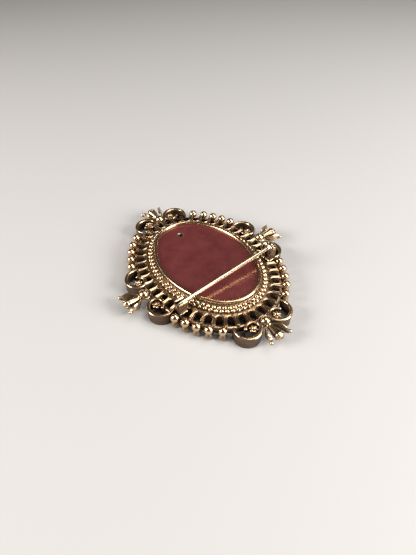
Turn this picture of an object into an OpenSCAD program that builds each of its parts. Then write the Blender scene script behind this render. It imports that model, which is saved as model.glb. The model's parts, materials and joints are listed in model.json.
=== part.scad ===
// Cameo brooch, lying face down: its pin and back plate face up (+Z).
// Millimetres. The origin is on the floor, under the middle of the oval.
// +Y runs along the long way, +X along the short way, and the front faces -Z.

/* [Oval setting] */
// Width of the back plate that shows inside the rim
opening_w = 21.4; // [19:0.1:24]
// Length of the back plate that shows inside the rim
opening_l = 30.8; // [28:0.1:34]
// Radius of the arcs at the oval's two ends
end_r = 8.2; // [7.4:0.1:9]
// Height of the back plate's face above the floor
plate_z = 4.55; // [4.4:0.05:5]
// Thickness of the back plate
plate_t = 0.45; // [0.3:0.05:0.6]
// Radius of the vent hole in the back plate
vent_r = 0.4; // [0.25:0.05:0.6]
// Radius of the vent hole's countersink
vent_sink_r = 0.8; // [0.7:0.05:1]
// Distance of the vent hole from the middle
vent_y = 11.6; // [9:0.1:13]

/* [Bezel] */
// Width of the rounded rim round the back plate
rim_w = 0.8; // [0.6:0.05:0.9]
// Height of the rim's crest over the plate's face
rim_h = 0.7; // [0.45:0.05:0.8]
// Wall of the bezel band
band_wall = 0.3; // [0.2:0.05:0.4]
// Height of the bezel's front edge above the floor
bezel_front_z = 0.9; // [0.7:0.05:1.1]
// Thickness of the bezel's front lip
front_lip_t = 0.35; // [0.25:0.05:0.45]

/* [Granulated band] */
// Width of the band of grains
grain_band_w = 1.6; // [1.5:0.05:1.9]
// Diameter of a grain
grain_d = 1.1; // [0.9:0.05:1.2]
// Height of the inner row's middle over the collar
grain_rise = 0.8; // [0.6:0.05:1]

/* [Gallery] */
// Windows in each quarter of the gallery
windows_per_quarter = 11; // [10:1:12]
// Width of the flat collar between the bezel and the windows
collar_w = 2.25; // [2.1:0.05:2.6]
// Thickness of the collar
collar_t = 0.9; // [0.6:0.05:1.2]
// Length of a window, outwards
window_l = 2.3; // [2:0.05:2.6]
// Width of the raised bar between two windows
bar_w = 0.55; // [0.4:0.05:0.7]
// Width of the rail outside the windows
rail_w = 0.55; // [0.4:0.05:0.7]
// Height of the gallery's back above the floor
gallery_z = 3.2; // [3:0.05:3.4]
// Height of the gallery's front above the floor
gallery_front_z = 0.9; // [0.6:0.05:1.2]
// Drop from the bars' tops to the rail's top
rail_drop = 0.6; // [0.3:0.05:0.9]

/* [Beads] */
// Diameter of a side bead
bead_d = 2.1; // [1.8:0.05:2.3]
// Diameter of the bead in front of each side bead
front_bead_d = 1.9; // [1.6:0.05:2]
// Height of the side beads' centres above the floor
bead_z = 2.9; // [2.7:0.05:3.1]
// Distance of the side beads' centres outside the windows
bead_out = 1.45; // [1.2:0.05:1.6]
// Beads on each of the four sides
beads_per_side = 5; // [4:1:5]
// Distance of the middle bead of a side from the end of the oval, along the collar's edge
bead_row_mid = 12.05; // [11.7:0.05:12.5]
// Diameter of the bead at each corner
corner_bead_d = 2.4; // [2.1:0.05:2.7]
// Distance of a corner bead's centre outside the windows
corner_bead_out = 1.6; // [1.4:0.05:1.8]

/* [Scrolls] */
// Radius of a C-scroll to the middle of its strap
scroll_r = 3.1; // [2.8:0.05:3.3]
// Thickness of the scroll's strap
strap_t = 0.55; // [0.4:0.05:0.7]
// Depth of the scroll's strap from front to back
strap_h = 3.3; // [3:0.05:3.6]
// Radius of the curl that closes the scroll
curl_r = 1.8; // [1.6:0.05:2]
// Distance of an end scroll's centre outside the windows
end_scroll_out = 1.45; // [1.2:0.05:1.6]
// Distance of an end scroll's centre from the end of the oval, along the collar's edge
end_scroll_along = 3.35; // [3.2:0.05:3.7]
// Distance of a side scroll's centre outside the windows
side_scroll_out = 0.65; // [0.5:0.05:1]
// Distance of a side scroll's centre from the side of the oval, along the collar's edge
side_scroll_along = 4.75; // [4.5:0.05:5]
// Diameter of the rosette in the curl
rosette_d = 2; // [1.6:0.05:2.2]

/* [Finials] */
// Length of a finial from its corner bead's centre to its tip
finial_l = 5.5; // [5:0.1:6]
// Radius of a side petal's curl
petal_r = 1.35; // [1.1:0.05:1.5]
// Thickness of a petal
petal_t = 0.6; // [0.45:0.05:0.75]
// Gap between the two side petals
petal_gap = 1.2; // [0.9:0.05:1.25]
// Depth of a petal from front to back
petal_h = 2.4; // [2:0.1:2.8]
// Diameter of the bud in the middle
bud_d = 2; // [1.7:0.05:2.3]
// Diameter of the neck
neck_d = 1.3; // [1:0.05:1.6]

/* [Cameo] */
// Height of the stone's front above the floor
stone_front_z = 1; // [0.95:0.05:1.15]
// Gap between the stone and the bezel, and between the stone and the plate
seat_gap = 0.05; // [0.03:0.01:0.08]
// Margin of the stone past the bust, at the bust's top and foot
bust_margin = 4.9; // [4.4:0.1:6]
// Height of the relief over the stone
relief_h = 0.75; // [0.5:0.05:0.8]

/* [Pin] */
// Diameter of the pin's wire
pin_d = 0.85; // [0.7:0.05:0.95]
// Distance of the hinge from the near end of the oval, along the collar's edge
hinge_along = 17.95; // [17.5:0.05:18.4]
// Height of the rivet's middle over the back plate
hinge_rise = 2.7; // [2.5:0.05:3]
// Distance of the catch from the near end of the oval, along the collar's edge
catch_along = 16.45; // [16:0.05:16.9]
// Distance of the hinge and the catch outside the collar
fixing_out = 1.5; // [1.4:0.05:1.7]
// Height of the pin's middle over the back plate, at the catch
catch_rise = 1.35; // [1.3:0.05:1.6]
// Length of the pin's point past the catch's middle
point_past = 1.9; // [1.7:0.1:2.2]
// Length of the tapered point
point_l = 2.6; // [2:0.1:3.5]

/* [Hinge] */
// Diameter of the pin's eye
eye_d = 2; // [1.8:0.05:2.2]
// Width of the pin's eye
eye_w = 1.1; // [0.9:0.05:1.3]
// Diameter of the rivet
rivet_d = 0.8; // [0.6:0.05:0.9]
// Clearance all round the rivet in the eye
rivet_play = 0.05; // [0.03:0.01:0.08]
// Thickness of each ear
ear_t = 0.45; // [0.35:0.05:0.6]
// Gap between the eye and each ear
ear_play = 0.08; // [0.05:0.01:0.12]
// Length of the hinge's foot along the pin
foot_l = 2; // [1.8:0.1:2.4]
// Thickness of the feet of the hinge and the catch
foot_t = 0.4; // [0.3:0.05:0.5]

/* [Catch] */
// Length of the catch along the pin
catch_l = 2.4; // [2.2:0.1:2.8]
// Thickness of the catch's strip
catch_t = 0.35; // [0.3:0.05:0.45]
// Gap between the pin and the inside of the hook
catch_gap = 0.3; // [0.2:0.05:0.4]
// Angle to which the hook's lip leans over the pin
lip_angle = 38; // [20:1:40]

/* [Hidden] */
$fn = 64;
gold = [0.86, 0.68, 0.36];
pale_gold = [0.9, 0.8, 0.56];
burgundy = [0.4, 0.12, 0.13];
carnelian = [0.62, 0.25, 0.15];
ivory = [0.93, 0.88, 0.8];
// A length past every edge, for cutting wedges
far = 200;
// The least overlap of two shapes that are one piece of metal
bite = 0.15;
// Distance by which the oval's end slices start below their arc's centre
end_lap = 2;

// The oval is four arcs. Every ring follows it at its own offset.
half_w = opening_w / 2;
half_l = opening_l / 2;
end_c = half_l - end_r;
side_r = (end_c * end_c + half_w * half_w - end_r * end_r) / (2 * (half_w - end_r));
side_c = side_r - half_w;
// Direction, from +X, of the line on which a side arc meets an end arc
join_angle = atan2(end_c, side_c);

// Offsets from the visible edge of the back plate
band_in = rim_w - band_wall;
collar_in = rim_w + seat_gap;
collar_out = collar_in + collar_w;
window_out = collar_out + window_l;
rail_out = window_out + rail_w;
bead_o = window_out + bead_out;
corner_o = window_out + corner_bead_out;

// Heights
rim_z = plate_z + rim_h;
plate_back_z = plate_z - plate_t;
collar_front_z = gallery_z - collar_t;
rail_z = gallery_z - rail_drop;
band_z = gallery_z + seat_gap;

// Places along a quarter of the gallery, from the +Y end, on the collar's edge
end_len = (end_r + collar_out) * (90 - join_angle) * PI / 180;
side_len = (side_r + collar_out) * join_angle * PI / 180;
quarter_len = end_len + side_len;
pitch = quarter_len / windows_per_quarter;
window_w = pitch - bar_w;

function on_end(s) = s < end_len;
function normal_at(s) = on_end(s)
    ? 90 - s / (end_r + collar_out) * 180 / PI
    : join_angle - (s - end_len) / (side_r + collar_out) * 180 / PI;
function arc_centre(s) = on_end(s) ? [0, end_c] : [-side_c, 0];
function arc_radius(s) = on_end(s) ? end_r : side_r;
function at(s, o) = arc_centre(s)
    + (arc_radius(s) + o) * [cos(normal_at(s)), sin(normal_at(s))];

// Steps in each quarter of a ring that is swept round the oval
ring_steps = 24;

// A step's place round the whole oval, clockwise from the +Y end, at an offset
function round_the_oval(i, o) =
    let (quarter = floor(i / ring_steps), step = i % ring_steps,
        p = at(quarter_len * (quarter % 2 == 0 ? step : ring_steps - step) / ring_steps, o))
    [quarter < 2 ? p[0] : -p[0], quarter == 0 || quarter == 3 ? p[1] : -p[1]];

// Points on an arc, for a ring's cross-section
function arc_points(c, r, from, to, steps) =
    [for (i = [0:steps]) c + r * [for (turn = [0, 90]) cos(from + (to - from) * i / steps - turn)]];

// Directions, from the outward one, of a scroll's free end and of its curl
scroll_back = 108;
scroll_front = 69;
curl_sweep = 190;
curl_at = (scroll_r - curl_r) * [cos(scroll_front), sin(scroll_front)];

// The pin runs from the hinge to the catch, a little askew and a little downwards
hinge_at = at(hinge_along, collar_out + fixing_out);
catch_at = at(catch_along, collar_out + fixing_out);
pin_turn = atan2(catch_at[1] - hinge_at[1], hinge_at[0] + catch_at[0]);
pin_span = norm([hinge_at[0] + catch_at[0], catch_at[1] - hinge_at[1]]);
pin_slope = atan2(hinge_rise - catch_rise, pin_span);
rivet_z = plate_z + hinge_rise;
catch_z = plate_z + catch_rise;

// Small fits and fixings
rivet_seat = 0.03;
rivet_head_t = 0.25;
ear_y = eye_w / 2 + ear_play + ear_t / 2;
foot_edge = 0.1;
foot_w = 2 * (ear_y + ear_t / 2 + foot_edge);
foot_under = max(gallery_z, strap_h) + rivet_seat;
foot_z = foot_under + foot_t;
sink_depth = plate_t / 2;

// The bust, in shares of the face's height from hairline to chin. Each point is
// [forwards, upwards] from the foot of the chin under the forehead.
bust_l = opening_l - 2 * bust_margin;
face_h = bust_l / 3;
chin_y = bust_l * 0.02;
head_x = bust_l * 0.12;
HEAD = [[-0.02, 1], [0.06, 0.9], [0.085, 0.76], [0.05, 0.69], [0.1, 0.58], [0.185, 0.45],
    [0.185, 0.41], [0.09, 0.375], [0.09, 0.335], [0.125, 0.295], [0.09, 0.262], [0.11, 0.225],
    [0.065, 0.175], [0.09, 0.1], [0.06, 0.02], [-0.04, -0.01], [-0.2, 0.03], [-0.26, -0.1],
    [-0.27, -0.42], [-0.75, -0.42], [-0.66, -0.1], [-0.7, 0.4], [-0.6, 1.1]];
BUST = [[-0.26, -0.3], [-0.12, -0.52], [0.1, -0.72], [0.22, -0.98], [0.16, -1.22], [-0.1, -1.42],
    [-0.5, -1.5], [-0.9, -1.36], [-1.12, -1.08], [-1.14, -0.8], [-1, -0.6], [-0.76, -0.46],
    [-0.7, -0.3]];
DRAPE = [[0.2, -0.92], [0.19, -1.18], [-0.06, -1.4], [-0.48, -1.49], [-0.88, -1.36],
    [-1.1, -1.1], [-1.13, -0.84], [-0.8, -0.98], [-0.45, -1.12], [-0.1, -1.08]];
// Each lock of hair is [forwards, upwards, radius]
LOCKS = [[-0.42, 0.86, 0.5], [-0.12, 1.08, 0.2], [-0.62, 0.56, 0.34], [-1.02, 0.66, 0.26],
    [-0.86, 0.34, 0.16], [-0.78, 0.1, 0.12], [-0.04, 0.98, 0.1]];
// Height of the lower layer of the relief, in shares of relief_h
low_layer = 0.65;

// One quarter's children in all four quarters
module in_quarters() {
    for (mx = [0, 1], my = [0, 1]) mirror([mx, 0, 0]) mirror([0, my, 0]) children();
}

// Children drawn at a place s along the quarter, with +X outwards
module along(s, o) {
    p = at(s, o);
    translate([p[0], p[1], 0]) rotate([0, 0, normal_at(s)]) children();
}

// A flat wedge between two directions
module wedge(from, to) {
    steps = ceil((to - from) / 60);
    polygon(concat([[0, 0]],
        [for (i = [0:steps]) far * [cos(from + (to - from) * i / steps),
            sin(from + (to - from) * i / steps)]]));
}

// A flat slice of a disc
module slice(r, from, to) {
    intersection() {
        circle(r);
        wedge(from, to);
    }
}

// A flat curved strap, with round ends
module arc_strap(r, w, from, to) {
    intersection() {
        difference() {
            circle(r + w / 2);
            circle(r - w / 2);
        }
        wedge(from, to);
    }
    for (a = [from, to]) translate(r * [cos(a), sin(a)]) circle(w / 2);
}

// The oval's outline at an offset, filled. The end slices meet the side slices on the
// outline, and lap over them inside it.
module oval(o) {
    end_o = end_r + o;
    lap_angle = atan2(end_o * sin(join_angle) + end_lap, end_o * cos(join_angle));
    for (m = [0, 1]) mirror([m, 0, 0]) intersection() {
        translate([-side_c, 0]) slice(side_r + o, -join_angle, join_angle);
        translate([-bite, -far / 2]) square(far);
    }
    for (m = [0, 1]) mirror([0, m, 0]) translate([0, end_c]) intersection() {
        circle(end_o);
        translate([0, -end_lap]) wedge(lap_angle, 180 - lap_angle);
    }
}

// A ring swept round the oval. Each point of its cross-section is [offset, height].
module oval_ring(section) {
    steps = 4 * ring_steps;
    n = len(section);
    polyhedron(
        points = [for (i = [0:steps - 1], p = section) concat(round_the_oval(i, p[0]), p[1])],
        faces = [for (i = [0:steps - 1], j = [0:n - 1])
            let (next_i = (i + 1) % steps, next_j = (j + 1) % n)
            [i * n + j, i * n + next_j, next_i * n + next_j, next_i * n + j]]);
}

// A window's outline: round at its inner end, square at the outer one
module window_cut() {
    translate([window_w / 2, 0]) circle(window_w / 2);
    translate([window_w / 2, -window_w / 2]) square([window_l - window_w / 2, window_w]);
}

// The ladder of windows round the collar
module ladder() {
    translate([0, 0, gallery_front_z]) linear_extrude(rail_z - gallery_front_z)
        difference() {
            oval(rail_out);
            oval(collar_out - bite);
            in_quarters() for (i = [0:windows_per_quarter - 1])
                along((i + 0.5) * pitch, collar_out) window_cut();
        }
    translate([0, 0, collar_front_z]) linear_extrude(gallery_z - collar_front_z)
        difference() {
            oval(collar_out);
            oval(collar_in);
        }
}

// A raised bar's outline, from a little inside the collar's edge to the rail
module bar() {
    translate([-bite, -bar_w / 2]) square([window_l + rail_w, bar_w]);
}

// The raised bars between the windows
module bars() {
    translate([0, 0, rail_z - bite]) linear_extrude(gallery_z - rail_z + bite) {
        in_quarters() for (i = [1:windows_per_quarter - 1]) along(i * pitch, collar_out) bar();
        at_corners() translate([collar_out - corner_o, 0]) bar();
    }
}

// A side bead with the bead in front of it
module side_bead() {
    translate([0, 0, bead_z]) sphere(d = bead_d);
    translate([0, 0, front_bead_d / 2]) sphere(d = front_bead_d);
    translate([0, 0, front_bead_d / 2]) cylinder(d = bar_w * 2, h = bead_z - front_bead_d / 2);
}

module side_beads() {
    in_quarters() for (i = [0:beads_per_side - 1])
        along(bead_row_mid + (i - (beads_per_side - 1) / 2) * pitch, bead_o) side_bead();
}

// The outline of a C-scroll. +X is outwards, and the strap ends on the +Y side
// in a curl round the rosette.
module scroll_outline() {
    arc_strap(scroll_r, strap_t, -scroll_back, scroll_front);
    translate(curl_at) arc_strap(curl_r, strap_t, scroll_front, scroll_front + curl_sweep);
}

// A rosette: a round middle in a ring of small round petals
module rosette() {
    petals = 6;
    sphere(d = rosette_d * 0.6);
    for (i = [0:petals - 1]) rotate([0, 0, i * 360 / petals])
        translate([rosette_d * 0.32, 0, -rosette_d * 0.12]) sphere(d = rosette_d * 0.36);
    translate([0, 0, -rosette_d * 0.6]) cylinder(d = rosette_d * 0.7, h = rosette_d * 0.6);
}

// The arm that joins a rosette to its scroll's strap
module rosette_arm() {
    translate([curl_at[0], curl_at[1], strap_h / 2]) rotate([0, 0, scroll_front])
        translate([0, -strap_t / 2, 0]) cube([curl_r, strap_t, strap_h / 3]);
}

module scroll() {
    linear_extrude(strap_h) scroll_outline();
    translate([curl_at[0], curl_at[1], strap_h - rosette_d * 0.2]) rosette();
    rosette_arm();
}

// The two scrolls that flank each corner
module scrolls() {
    in_quarters() {
        along(end_scroll_along, window_out + end_scroll_out) scroll();
        along(quarter_len - side_scroll_along, window_out + side_scroll_out)
            mirror([0, 1, 0]) scroll();
    }
}

// Children drawn at each corner's bead, with +X outwards
module at_corners() {
    for (m = [0, 1]) mirror([m, 0, 0]) translate([half_w + corner_o, 0, 0]) children();
    for (m = [0, 1]) mirror([0, m, 0]) translate([0, half_l + corner_o, 0])
        rotate([0, 0, 90]) children();
}

// A corner's bead, turned so that the sphere's seam is clear of the finial and the gallery
module corner_bead() {
    translate([0, 0, bead_z]) rotate([0, 0, 90]) sphere(d = corner_bead_d);
}

// A finial: a neck, a bud and two side petals that curl away
module finial() {
    bud_x = finial_l - bud_d / 2;
    petal_x = finial_l - petal_r * 2;
    petal_y = petal_r + petal_gap / 2;
    petal_from = -150;
    petal_to = 75;
    finial_z = bead_z - (corner_bead_d - neck_d) / 4;
    translate([0, 0, finial_z]) rotate([0, 90, 0]) cylinder(d = neck_d, h = bud_x);
    translate([bud_x, 0, finial_z]) sphere(d = bud_d);
    for (m = [0, 1]) mirror([0, m, 0]) {
        translate([petal_x, petal_y, finial_z - petal_h / 2]) linear_extrude(petal_h) {
            arc_strap(petal_r, petal_t, petal_from, petal_to);
            rotate(petal_from) translate([petal_r - petal_t / 2, 0])
                rotate(30) square([petal_gap, petal_t]);
        }
        translate([petal_x + petal_r * cos(petal_to), petal_y + petal_r * sin(petal_to), finial_z])
            sphere(d = petal_t * 1.6);
    }
}

// Node: the cast frame, with everything that is soldered to it
module filigree_frame() {
    color(gold) {
        ladder();
        bars();
        side_beads();
        scrolls();
        at_corners() {
            corner_bead();
            finial();
        }
    }
}

// Node: the bezel that holds the stone and the back plate. Its cross-section is a
// band with a rounded rim behind and a lip in front.
module bezel_ring() {
    rim_r = rim_w / 2;
    color(gold) oval_ring(concat(
        [[0, bezel_front_z], [rim_w, bezel_front_z]],
        arc_points([rim_r, rim_z - rim_r], rim_r, 0, 180, 8),
        [[0, plate_z + seat_gap], [band_in, plate_z + seat_gap],
            [band_in, bezel_front_z + front_lip_t], [0, bezel_front_z + front_lip_t]]));
}

// Node: the band of grains between the collar and the rim. Its cross-section has a
// round rib for each of the two rows.
module granulated_band() {
    grain_r = grain_d / 2;
    outer = [collar_in + grain_band_w - grain_r, band_z + grain_r * 0.6];
    inner = [collar_in + grain_r, band_z + grain_rise];
    lean = inner - outer;
    valley = acos(min(1, norm(lean) / grain_d));
    lean_angle = atan2(lean[1], lean[0]);
    outer_from = -30;
    inner_to = 150;
    color(pale_gold) oval_ring(concat(
        [[collar_in, band_z], [outer[0] + grain_r * 0.8, band_z]],
        arc_points(outer, grain_r, outer_from, lean_angle - valley, 6),
        arc_points(inner, grain_r, lean_angle - 180 + valley, inner_to, 6),
        [[collar_in, inner[1] + grain_r * sin(inner_to)]]));
}

// Node: the back plate, with its countersunk vent hole
module back_plate() {
    color(burgundy) difference() {
        translate([0, 0, plate_back_z]) linear_extrude(plate_t) oval(band_in - seat_gap);
        translate([0, vent_y, plate_back_z - bite]) cylinder(r = vent_r, h = plate_t + 2 * bite);
        translate([0, vent_y, plate_z - sink_depth])
            cylinder(r1 = vent_r, r2 = vent_sink_r + vent_sink_r - vent_r, h = sink_depth * 2);
    }
}

// Node: the stone, with a step round its front that the bezel's lip holds
module cameo_stone() {
    step_z = bezel_front_z + front_lip_t + seat_gap;
    color(carnelian) {
        translate([0, 0, stone_front_z]) linear_extrude(step_z - stone_front_z + bite)
            oval(-seat_gap);
        translate([0, 0, step_z]) linear_extrude(plate_back_z - seat_gap - step_z)
            oval(band_in - seat_gap);
    }
}

// Points of the bust on the stone. The face looks towards -X.
function on_stone(points) = [for (p = points) [-face_h * p[0] - head_x, face_h * p[1] + chin_y]];

// A layer of the relief: a flat outline raised from the stone
module raised(height) {
    translate([0, 0, stone_front_z - seat_gap - height]) linear_extrude(height) children();
}

// The outline of the hair: the crown of the head, a knot and side curls
module hair_outline() {
    for (lock = LOCKS) translate(on_stone([lock])[0]) circle(r = face_h * lock[2]);
}

// Node: the bust in relief on the stone
module cameo_relief() {
    color(ivory) {
        raised(relief_h * low_layer) {
            polygon(on_stone(HEAD));
            polygon(on_stone(BUST));
        }
        raised(relief_h) {
            hair_outline();
            polygon(on_stone(DRAPE));
        }
    }
}

// Children drawn over the hinge, with the catch in the -X direction
module over_hinge() {
    translate([hinge_at[0], -hinge_at[1], 0]) rotate([0, 0, pin_turn]) children();
}

// Node: the pin, with its eye round the rivet
module pin_stem() {
    stem_l = pin_span / cos(pin_slope) + point_past - point_l;
    color(pale_gold) over_hinge() translate([0, 0, rivet_z]) rotate([0, -pin_slope, 0])
        difference() {
            union() {
                translate([0, -eye_w / 2, 0]) rotate([-90, 0, 0]) cylinder(d = eye_d, h = eye_w);
                rotate([0, -90, 0]) cylinder(d = pin_d, h = stem_l);
                translate([-stem_l, 0, 0]) rotate([0, -90, 0])
                    cylinder(d1 = pin_d, d2 = pin_d * 0.2, h = point_l);
            }
            translate([0, -eye_w, 0]) rotate([-90, 0, 0])
                cylinder(d = rivet_d + 2 * rivet_play, h = 2 * eye_w);
        }
}

// One ear of the hinge, flat in X and Z, centred on the rivet
module ear_outline() {
    difference() {
        union() {
            circle(d = eye_d);
            translate([-eye_d / 2, foot_z - rivet_z - bite])
                square([eye_d, rivet_z - foot_z + bite]);
        }
        circle(d = rivet_d + 2 * rivet_seat);
    }
}

// The foot under the hinge or the catch, on the gallery
module foot() {
    translate([-foot_l / 2, -foot_w / 2, foot_under]) cube([foot_l, foot_w, foot_t]);
}

// Node: the hinge's bracket, with its foot on the gallery
module hinge_bracket() {
    color(gold) over_hinge() {
        for (m = [-1, 1]) translate([0, m * ear_y + ear_t / 2, rivet_z])
            rotate([90, 0, 0]) linear_extrude(ear_t) ear_outline();
        foot();
    }
}

// Node: the rivet that the pin turns on
module hinge_rivet() {
    half = ear_y + ear_t / 2 + rivet_seat;
    color(gold) over_hinge() translate([0, 0, rivet_z]) rotate([-90, 0, 0]) {
        translate([0, 0, -half]) cylinder(d = rivet_d, h = 2 * half);
        for (m = [0, 1]) mirror([0, 0, m]) translate([0, 0, half])
            cylinder(d = rivet_d + ear_t, h = rivet_head_t);
    }
}

// Node: the catch, a trough of bent strip that the pin's end lies in
module catch_hook() {
    inner_r = pin_d / 2 + catch_gap;
    strip_r = inner_r + catch_t / 2;
    web_top = catch_z - inner_r - catch_t / 2;
    color(gold) over_hinge() translate([-pin_span, 0, 0]) {
        translate([-catch_l / 2, 0, catch_z]) rotate([90, 0, 90])
            linear_extrude(catch_l) arc_strap(strip_r, catch_t, -180 - lip_angle, lip_angle);
        translate([-catch_l / 2, -inner_r / 2, foot_z - bite])
            cube([catch_l, inner_r, web_top - foot_z + bite]);
        foot();
    }
}

filigree_frame();
bezel_ring();
granulated_band();
back_plate();
cameo_stone();
cameo_relief();
pin_stem();
hinge_bracket();
hinge_rivet();
catch_hook();
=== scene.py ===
# Cameo brooch lying face down, seen from its back: a cast gold-tone frame with a granulated
# band round a burgundy back plate, and a pin with its hinge and catch.
import json
import math

import bmesh
import bpy
from mathutils import Matrix, Vector


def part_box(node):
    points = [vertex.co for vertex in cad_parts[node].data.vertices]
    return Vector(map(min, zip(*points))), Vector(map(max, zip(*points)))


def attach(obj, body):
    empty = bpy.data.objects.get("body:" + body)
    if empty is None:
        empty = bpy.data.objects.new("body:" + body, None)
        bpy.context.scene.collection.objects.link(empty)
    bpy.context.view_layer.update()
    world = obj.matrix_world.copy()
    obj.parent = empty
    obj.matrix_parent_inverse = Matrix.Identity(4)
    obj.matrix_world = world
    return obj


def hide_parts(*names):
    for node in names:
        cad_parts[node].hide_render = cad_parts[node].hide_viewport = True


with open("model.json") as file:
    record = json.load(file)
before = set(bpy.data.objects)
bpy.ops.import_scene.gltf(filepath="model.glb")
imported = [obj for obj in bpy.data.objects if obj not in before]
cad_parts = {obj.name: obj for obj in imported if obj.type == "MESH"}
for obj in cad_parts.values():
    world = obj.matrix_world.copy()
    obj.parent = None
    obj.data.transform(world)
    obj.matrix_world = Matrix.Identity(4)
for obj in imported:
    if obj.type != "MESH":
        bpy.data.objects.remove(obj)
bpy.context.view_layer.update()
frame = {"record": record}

# Everything is modelled in millimetres, as the solids are, and made metres at the end
MM = 0.001
UP = (0, 0, 1)
# The spin operator turns clockwise about its axis, so a downward axis turns it the other way
COUNTER = (0, 0, -1)
ORIGIN = (0, 0, 0)
# Turns that lay an upright rod or circle's axis along X or along Y
ALONG_X = (0, math.radians(90), 0)
ALONG_Y = (math.radians(90), 0, 0)
# Vertices nearer than this are one
WELD = 0.002


def node_box(name):
    """A solid's lowest and highest corners in millimetres."""
    return [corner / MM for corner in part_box(name)]


# Sizes of the bezel and the oval. The oval is four arcs.
rim_w = 0.8
seat_gap = 0.05
band_wall = 0.3
front_lip_t = 0.35
lip_edge = 0.1
end_r = 8.2
plate_z = node_box("back_plate")[1].z
rim_z = node_box("bezel_ring")[1].z
bezel_front_z = node_box("bezel_ring")[0].z
half_w = node_box("bezel_ring")[1].x - rim_w
half_l = node_box("bezel_ring")[1].y - rim_w
end_c = half_l - end_r
side_r = (end_c**2 + half_w**2 - end_r**2) / (2 * (half_w - end_r))
side_c = side_r - half_w
join_angle = math.degrees(math.atan2(end_c, side_c))

# Sizes of the gallery: its collar, its ladder of windows and its rail
collar_w = 2.25
collar_t = 0.9
window_l = 2.3
bar_w = 0.55
rail_w = 0.55
rail_drop = 0.6
gallery_z = 3.2
gallery_front_z = 0.9
windows_per_quarter = 11
collar_in = rim_w + seat_gap
collar_out = collar_in + collar_w
window_out = collar_out + window_l
rail_out = window_out + rail_w
end_len = (end_r + collar_out) * math.radians(90 - join_angle)
quarter_len = end_len + (side_r + collar_out) * math.radians(join_angle)
pitch = quarter_len / windows_per_quarter
window_w = pitch - bar_w
window_wire_r = 0.2
window_wire_rise = 0.06
gallery_edge = 0.07

# Sizes of the granulation
grain_d = 1.1
grain_band_w = 1.6
grain_rise = 0.8
grains_per_row = 72

# Sizes of the beads
bead_d = 2.1
front_bead_d = 1.9
bead_z = 2.9
bead_o = window_out + 1.45
beads_per_side = 5
bead_row_mid = 12.05
corner_bead_d = 2.4
corner_o = window_out + 1.6

# Sizes of the scrolls. The places are along the quarter and outwards.
scroll_r = 3.1
strap_t = 0.55
strap_h = 3.3
roll_lap = 0.25
strap_edge = 0.1
scroll_edge = 0.08
curl_r = 1.8
scroll_back = 108
scroll_front = 69
curl_sweep = 190
end_scroll = (3.35, window_out + 1.45)
side_scroll = (quarter_len - 4.75, window_out + 0.65)
rosette_d = 2.0

# Sizes of the finials
finial_l = 5.5
petal_r = 1.35
petal_t = 0.6
petal_h = 2.4
bud_d = 2.0
neck_d = 1.3
neck_ring_t = 0.4
petal_edge = 0.07
calyx_wall = 0.12
calyx_depth = 0.3
arch_wire_r = 0.17
arch_gap = 0.3
arch_start = 55
arch_sweep = 250
finial_z = bead_z - (corner_bead_d - neck_d) / 4

# Sizes of the pin and its fixings
pin_d = 0.85
wire_d = pin_d + 0.1
eye_d = 2.0
eye_w = 1.1
rivet_d = 0.8
rivet_seat = 0.03
rivet_head_t = 0.25
ear_t = 0.45
ear_play = 0.08
ear_flare = 0.25
foot_l = 2.0
foot_t = 0.4
foot_edge = 0.1
fixing_edge = 0.09
eye_edge = 0.14
catch_rise = 1.35
catch_l = 2.4
catch_t = 0.35
catch_gap = 0.3
lip_angle = 38
point_past = 1.9
point_l = 2.6


def turned(degrees, axis="Z"):
    """A turn about an axis, as a matrix."""
    return Matrix.Rotation(math.radians(degrees), 4, axis)


def direction(degrees):
    """The level direction at a turn from +X."""
    turn = math.radians(degrees)
    return Vector((math.cos(turn), math.sin(turn), 0))


def normal_at(s):
    """Direction in degrees of the outward normal, at a place along the quarter from the end."""
    if s < end_len:
        return 90 - math.degrees(s / (end_r + collar_out))
    return join_angle - math.degrees((s - end_len) / (side_r + collar_out))


def at(s, o):
    """The point at a place along the quarter and an offset from the opening's edge."""
    centre, radius = ((0, end_c), end_r) if s < end_len else ((-side_c, 0), side_r)
    turn = math.radians(normal_at(s))
    reach = radius + o
    return Vector((centre[0] + reach * math.cos(turn), centre[1] + reach * math.sin(turn), 0))


def along(s, o, z=0):
    """The place, as a matrix, with +X outwards."""
    return Matrix.Translation(at(s, o) + Vector((0, 0, z))) @ turned(normal_at(s))


QUARTERS = [Matrix.Diagonal((x, y, 1, 1)) for x in (1, -1) for y in (1, -1)]
MIRROR_Y = Matrix.Diagonal((1, -1, 1, 1))
CORNERS = [turned(turn) @ Matrix.Translation((half + corner_o, 0, 0))
           for turn, half in ((0, half_w), (90, half_l), (180, half_w), (270, half_l))]


# Modelling steps


def hold(obj):
    """Make obj the only selected piece, and the active one."""
    bpy.ops.object.select_all(action="DESELECT")
    obj.select_set(True)
    bpy.context.view_layer.objects.active = obj


def begin(add, name, **settings):
    """Add a primitive with its place in its mesh, and open it in edit mode, all selected."""
    bpy.ops.object.select_all(action="DESELECT")
    add(**settings)
    obj = bpy.context.active_object
    obj.name = obj.data.name = name
    bpy.ops.object.transform_apply(location=True, rotation=True, scale=True)
    bpy.ops.object.mode_set(mode="EDIT")
    bpy.ops.mesh.select_mode(type="VERT")
    bpy.ops.mesh.select_all(action="SELECT")
    return obj


def begin_ball(name, radius, place=ORIGIN, segments=14, rings=9):
    """Begin with a ball."""
    return begin(bpy.ops.mesh.primitive_uv_sphere_add, name, segments=segments, ring_count=rings,
                 radius=radius, location=place)


def begin_block(name, size, place):
    """Begin with a block."""
    return begin(bpy.ops.mesh.primitive_cube_add, name, size=1, scale=size, location=place)


def begin_rod(name, radius, length, place=ORIGIN, turn=ORIGIN, sides=16):
    """Begin with a round rod, upright unless it is turned."""
    return begin(bpy.ops.mesh.primitive_cylinder_add, name, vertices=sides, radius=radius,
                 depth=length, rotation=turn, location=place)


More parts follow.
